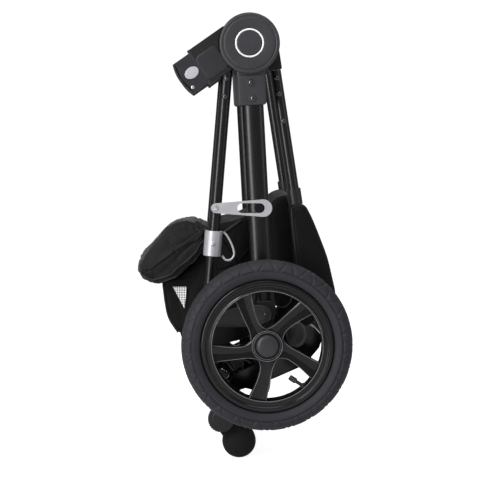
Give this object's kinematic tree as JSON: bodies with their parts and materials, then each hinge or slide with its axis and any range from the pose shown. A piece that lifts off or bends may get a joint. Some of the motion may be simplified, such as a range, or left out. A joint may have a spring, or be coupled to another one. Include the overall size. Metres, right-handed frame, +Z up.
{
  "type": "pushchair chassis",
  "caption": "Folded pushchair chassis standing upright, with spoked rear wheels, casters, hub joints, seat adapters, latch and basket.",
  "frame": {"origin": "under the middle of the folded chassis, at its lowest point", "axes": "+Z up as the chassis stands folded, +X towards the front of the unfolded pushchair, +Y to its left side"},
  "size_m": [0.3679, 0.598, 0.7813],
  "materials": {
    "hub_plastic": "fine moulded satin",
    "black_plastic": "fine moulded satin",
    "black_paint": "gloss powder coat",
    "silver": "satin",
    "button_grey": "satin",
    "rubber": "matte",
    "rim_plastic": "gloss",
    "cloth": "coated weave",
    "foam": "matte foam",
    "steel": "bright"
  },
  "bodies": {
    "rear_frame": {"hub_cap_right": "hub_plastic", "hub_cap_left": "hub_plastic", "hub_ring_right": "silver", "hub_ring_left": "silver", "hub_centre_right": "hub_plastic", "hub_centre_left": "hub_plastic", "hub_bolt_right": "steel", "hub_bolt_left": "steel", "rear_socket_right": "hub_plastic", "rear_socket_left": "hub_plastic", "rear_tube_right": "black_paint", "rear_tube_left": "black_paint", "axle_housing_right": "black_plastic", "axle_housing_left": "black_plastic", "rear_axle_right": "steel", "rear_axle_left": "steel", "rear_cross_tube": "black_paint", "latch_stud": "steel", "basket": "cloth", "cloth_bundle": "cloth"},
    "handle": {"handle_joint_right": "black_plastic", "handle_joint_left": "black_plastic", "adapter_end_right": "black_plastic", "adapter_end_left": "black_plastic", "handle_tube_right": "black_paint", "handle_tube_left": "black_paint", "grip_knuckle_right": "black_plastic", "grip_knuckle_left": "black_plastic", "latch_pin": "steel", "saddle_clip": "silver", "wire_loop": "silver"},
    "grip": {"handle_grip": "foam"},
    "latch": {"latch_plate": "silver"},
    "brake": {"brake_pedal": "black_plastic"},
    "front_frame": {"front_joint_right": "black_plastic", "front_joint_left": "black_plastic", "front_tube_right": "black_paint", "front_tube_left": "black_paint", "leg_cover_right": "black_plastic", "leg_cover_left": "black_plastic", "foot_tube": "black_paint"},
    "rear_wheel_right": {"rear_tyre_right": "rubber", "rear_rim_right": "rim_plastic", "wheel_cap_right": "hub_plastic"},
    "caster_right": {"caster_fork_right": "rim_plastic", "caster_stem_right": "steel", "front_axle_right": "steel"},
    "front_wheel_right": {"front_tyre_right": "rubber", "front_rim_right": "rim_plastic"},
    "seat_button_right": {"adapter_button_right": "button_grey"},
    "rear_wheel_left": {"rear_tyre_left": "rubber", "rear_rim_left": "rim_plastic", "wheel_cap_left": "hub_plastic"},
    "caster_left": {"caster_fork_left": "rim_plastic", "caster_stem_left": "steel", "front_axle_left": "steel"},
    "front_wheel_left": {"front_tyre_left": "rubber", "front_rim_left": "rim_plastic"},
    "seat_button_left": {"adapter_button_left": "button_grey"}
  },
  "joints": [
    {"name": "handle_fold", "type": "hinge", "parent": "rear_frame", "child": "handle", "pos_m": [0.0096, 0, 0.729], "axis": [0, 1, 0], "range_deg": [0, 91.5]},
    {"name": "front_fold", "type": "hinge", "parent": "rear_frame", "child": "front_frame", "pos_m": [0.0096, 0, 0.729], "axis": [0, -1, 0], "range_deg": [0, 62.5]},
    {"name": "grip_tilt", "type": "hinge", "parent": "handle", "child": "grip", "pos_m": [-0.0395, 0, 0.0745], "axis": [0, 1, 0], "range_deg": [0, 95]},
    {"name": "latch_swing", "type": "hinge", "parent": "handle", "child": "latch", "pos_m": [-0.04848, -0.215, 0.4448], "axis": [0, -1, 0], "range_deg": [0, 100]},
    {"name": "brake_tilt", "type": "hinge", "parent": "rear_frame", "child": "brake", "pos_m": [0.03473, 0, 0.27082], "axis": [0, 1, 0], "range_deg": [-12, 12]},
    {"name": "rear_roll_right", "type": "hinge", "parent": "rear_frame", "child": "rear_wheel_right", "pos_m": [0.0378, -0.276, 0.2149], "axis": [0, 1, 0], "continuous": true},
    {"name": "swivel_right", "type": "hinge", "parent": "front_frame", "child": "caster_right", "pos_m": [0.0945, -0.155, 0.224], "axis": [-0.4848, 0, -0.8746], "range_deg": [-5, 75]},
    {"name": "front_roll_right", "type": "hinge", "parent": "caster_right", "child": "front_wheel_right", "pos_m": [-0.0106, -0.155, 0.1344], "axis": [0, 1, 0], "continuous": true},
    {"name": "seat_button_right_push", "type": "slide", "parent": "handle", "child": "seat_button_right", "axis": [0, 1, 0], "range_m": [0, 0.0025], "stiffness_N_per_m": 900, "springref_m": -0.001},
    {"name": "rear_roll_left", "type": "hinge", "parent": "rear_frame", "child": "rear_wheel_left", "pos_m": [0.0378, 0.276, 0.2149], "axis": [0, 1, 0], "continuous": true},
    {"name": "swivel_left", "type": "hinge", "parent": "front_frame", "child": "caster_left", "pos_m": [0.0945, 0.155, 0.224], "axis": [0.4848, 0, 0.8746], "range_deg": [-5, 75]},
    {"name": "front_roll_left", "type": "hinge", "parent": "caster_left", "child": "front_wheel_left", "pos_m": [-0.0106, 0.155, 0.1344], "axis": [0, 1, 0], "continuous": true},
    {"name": "seat_button_left_push", "type": "slide", "parent": "handle", "child": "seat_button_left", "axis": [0, -1, 0], "range_m": [0, 0.0025], "stiffness_N_per_m": 900, "springref_m": -0.001}
  ],
  "couplings": [
    {"joint": "front_fold", "follows": "handle_fold", "ratio": 0.68}
  ]
}
